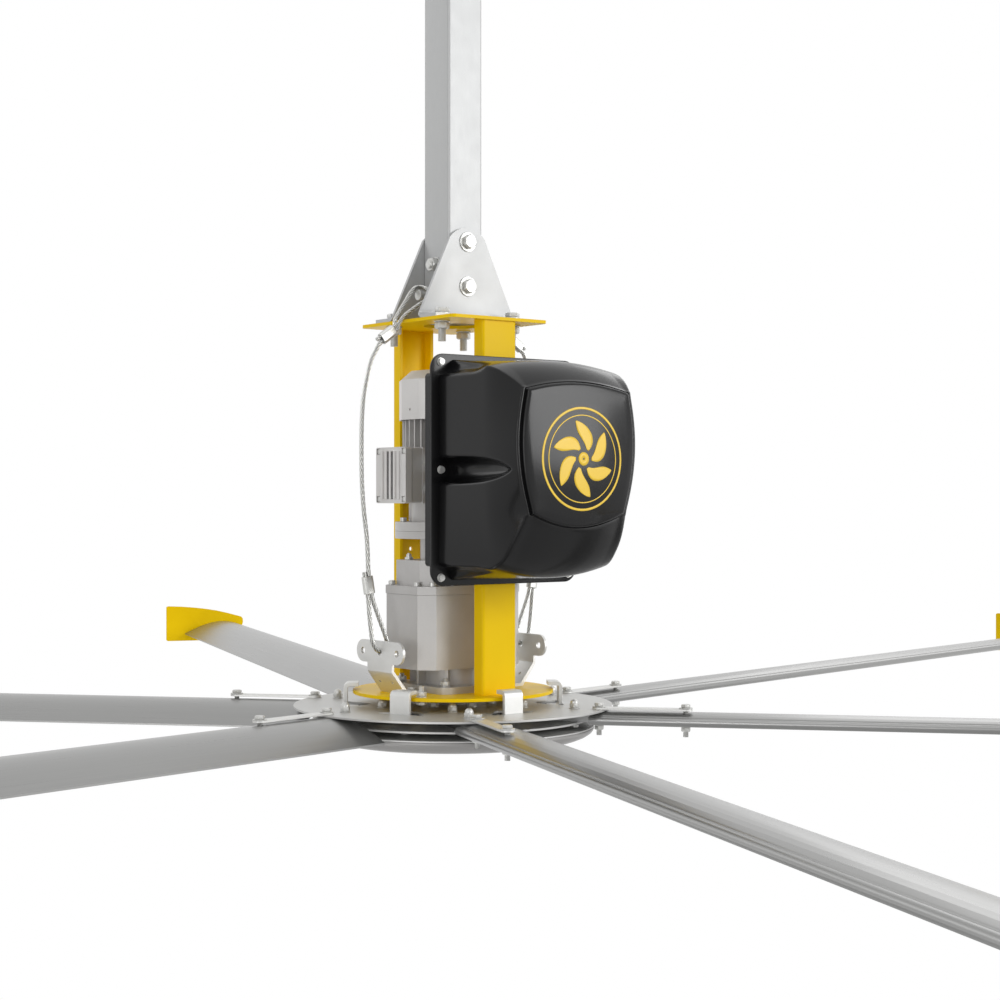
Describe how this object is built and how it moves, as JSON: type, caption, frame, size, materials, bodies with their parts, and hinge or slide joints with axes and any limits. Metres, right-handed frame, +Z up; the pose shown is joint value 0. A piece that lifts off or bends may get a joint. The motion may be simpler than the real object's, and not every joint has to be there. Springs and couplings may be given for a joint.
{
  "type": "industrial ceiling fan",
  "caption": "Large slow ceiling fan on a square drop tube, with a geared motor in a yellow frame, a covered drive housing, safety ropes and hollow airfoil blades with tip winglets.",
  "frame": {"origin": "middle of the upper yoke's top face, which bolts to the ceiling structure", "axes": "+Z up, along the drop tube and the fan axis; the drive housing faces -Y and the terminal box -X"},
  "size_m": [4.0752, 3.971, 1.289],
  "materials": {
    "yellow_paint": "semi-gloss powder coat",
    "galvanised_sheet": "bright zinc plated sheet",
    "zinc_fastener": "bright zinc plating",
    "wire_rope": "twisted steel strands",
    "ferrule_aluminium": "pressed, smooth",
    "black_cover": "semi-gloss moulding",
    "black_tray": "semi-gloss paint",
    "drive_metal": "extruded, dull",
    "grey_casting": "painted casting",
    "core_steel": "stacked sheet",
    "ground_steel": "ground",
    "seal_rubber": "moulded",
    "fan_plastic": "moulded",
    "blade_aluminium": "satin anodised extrusion",
    "cap_paint": "satin grey paint"
  },
  "bodies": {
    "frame": {"upper_yoke": "galvanised_sheet", "extension_tube": "galvanised_sheet", "lower_yoke": "galvanised_sheet", "tube_bolts": "zinc_fastener", "rope_pins": "zinc_fastener", "plate_bolts": "zinc_fastener", "frame_top_plate": "yellow_paint", "frame_posts": "yellow_paint", "frame_disc": "yellow_paint", "drive_tray": "black_tray", "drive_unit": "drive_metal", "drive_cover": "black_cover", "cover_screws": "zinc_fastener", "motor_cowl": "grey_casting", "motor_housing": "grey_casting", "motor_stator": "core_steel", "motor_rear_shield": "grey_casting", "motor_flange": "grey_casting", "motor_bearings": "ground_steel", "terminal_box": "grey_casting", "terminal_lid": "grey_casting", "terminal_screws": "zinc_fastener", "cable_gland": "zinc_fastener", "blanking_plug": "zinc_fastener", "gear_case_upper": "grey_casting", "gear_case_lower": "grey_casting", "gear_case_bolts": "zinc_fastener", "motor_flange_bolts": "zinc_fastener", "foot_bolts": "zinc_fastener", "breather_plug": "zinc_fastener", "gear_bearings": "ground_steel", "output_seal": "seal_rubber", "rope_brackets": "galvanised_sheet", "bracket_bolts": "zinc_fastener", "rope_left": "wire_rope", "rope_right": "wire_rope", "rope_ferrules": "ferrule_aluminium"},
    "rotor": {"output_shaft": "ground_steel", "output_gear": "ground_steel", "hub_boss": "grey_casting", "boss_bolts": "zinc_fastener", "hub_plate": "galvanised_sheet", "hub_lower_plate": "galvanised_sheet", "hub_cap_plate": "galvanised_sheet", "hub_cap": "cap_paint", "hub_bolts": "zinc_fastener", "blade_spars": "galvanised_sheet", "blade_retainers": "zinc_fastener", "blade_bolts": "zinc_fastener", "airfoils": "blade_aluminium", "winglets": "yellow_paint", "safety_clips": "zinc_fastener"},
    "countershaft": {"counter_shaft": "ground_steel", "counter_gear": "ground_steel"},
    "motor_rotor": {"motor_shaft": "ground_steel", "rotor_core": "core_steel", "cooling_fan": "fan_plastic", "motor_pinion": "ground_steel"}
  },
  "joints": [
    {"name": "rotor_spin", "type": "hinge", "parent": "frame", "child": "rotor", "pos_m": [0, 0, -1.232], "axis": [0, 0, 1], "continuous": true},
    {"name": "countershaft_spin", "type": "hinge", "parent": "frame", "child": "countershaft", "pos_m": [0.048, 0, -1.12], "axis": [0, 0, 1], "continuous": true},
    {"name": "motor_spin", "type": "hinge", "parent": "frame", "child": "motor_rotor", "pos_m": [0, 0, -0.9], "axis": [0, 0, 1], "continuous": true}
  ],
  "couplings": [
    {"joint": "countershaft_spin", "follows": "rotor_spin", "ratio": -3},
    {"joint": "motor_spin", "follows": "rotor_spin", "ratio": 10.714}
  ]
}
